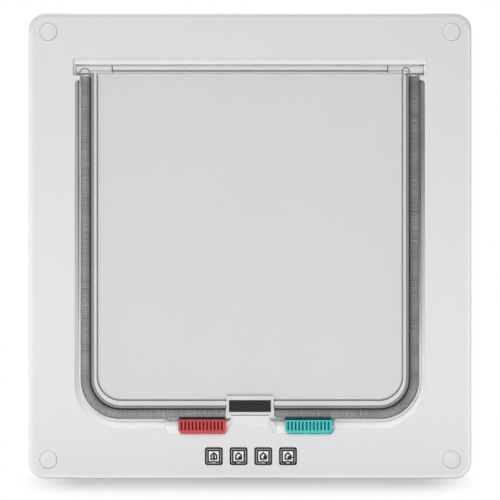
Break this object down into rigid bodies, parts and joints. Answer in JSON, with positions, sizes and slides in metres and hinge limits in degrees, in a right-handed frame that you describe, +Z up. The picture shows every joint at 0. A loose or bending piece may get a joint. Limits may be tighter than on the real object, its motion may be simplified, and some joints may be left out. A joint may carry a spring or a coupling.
{
  "type": "cat flap",
  "caption": "Square cat flap: white inner and outer frames round a telescoping tunnel, clear swinging flap with pile seal and magnet, and two sliding locks.",
  "frame": {"origin": "centre line of the door hole, in the plane of the inner flange's back face, which lies on the door", "axes": "+X to the right and +Z up as seen from inside the room, +Y through the door towards the outdoors"},
  "size_m": [0.235, 0.0564, 0.247],
  "materials": {
    "white_plastic": "satin white",
    "clear_plastic": "clear polished",
    "grey_pile": "woven-backed pile",
    "dark_magnet": "dark coated magnet",
    "steel": "zinc plated",
    "red_plastic": "satin red",
    "teal_plastic": "satin teal"
  },
  "bodies": {
    "frame": {"front_frame": "white_plastic", "inner_tunnel": "white_plastic", "rear_frame": "white_plastic", "frame_magnet": "dark_magnet", "frame_magnet_cap": "white_plastic", "screw_upper_left": "steel", "screw_upper_right": "steel", "screw_lower_left": "steel", "screw_lower_right": "steel", "screw_cap_upper_left": "white_plastic", "screw_cap_upper_right": "white_plastic", "screw_cap_lower_left": "white_plastic", "screw_cap_lower_right": "white_plastic"},
    "flap": {"flap": "clear_plastic", "pile_strip_left": "grey_pile", "pile_strip_right": "grey_pile", "flap_magnet": "dark_magnet", "hinge_pin_left": "steel", "hinge_pin_right": "steel", "nib_left": "clear_plastic", "nib_right": "clear_plastic"},
    "red_lock": {"red_slide": "red_plastic", "red_latch": "red_plastic"},
    "teal_lock": {"teal_slide": "teal_plastic", "teal_latch": "teal_plastic"}
  },
  "joints": [
    {"name": "flap_swing", "type": "hinge", "parent": "frame", "child": "flap", "pos_m": [0, -0.007, 0.0942], "axis": [1, 0, 0], "range_deg": [-85, 85]},
    {"name": "red_lock_slide", "type": "slide", "parent": "frame", "child": "red_lock", "axis": [-1, 0, 0], "range_m": [0, 0.0053]},
    {"name": "teal_lock_slide", "type": "slide", "parent": "frame", "child": "teal_lock", "axis": [-1, 0, 0], "range_m": [0, 0.0053]}
  ]
}
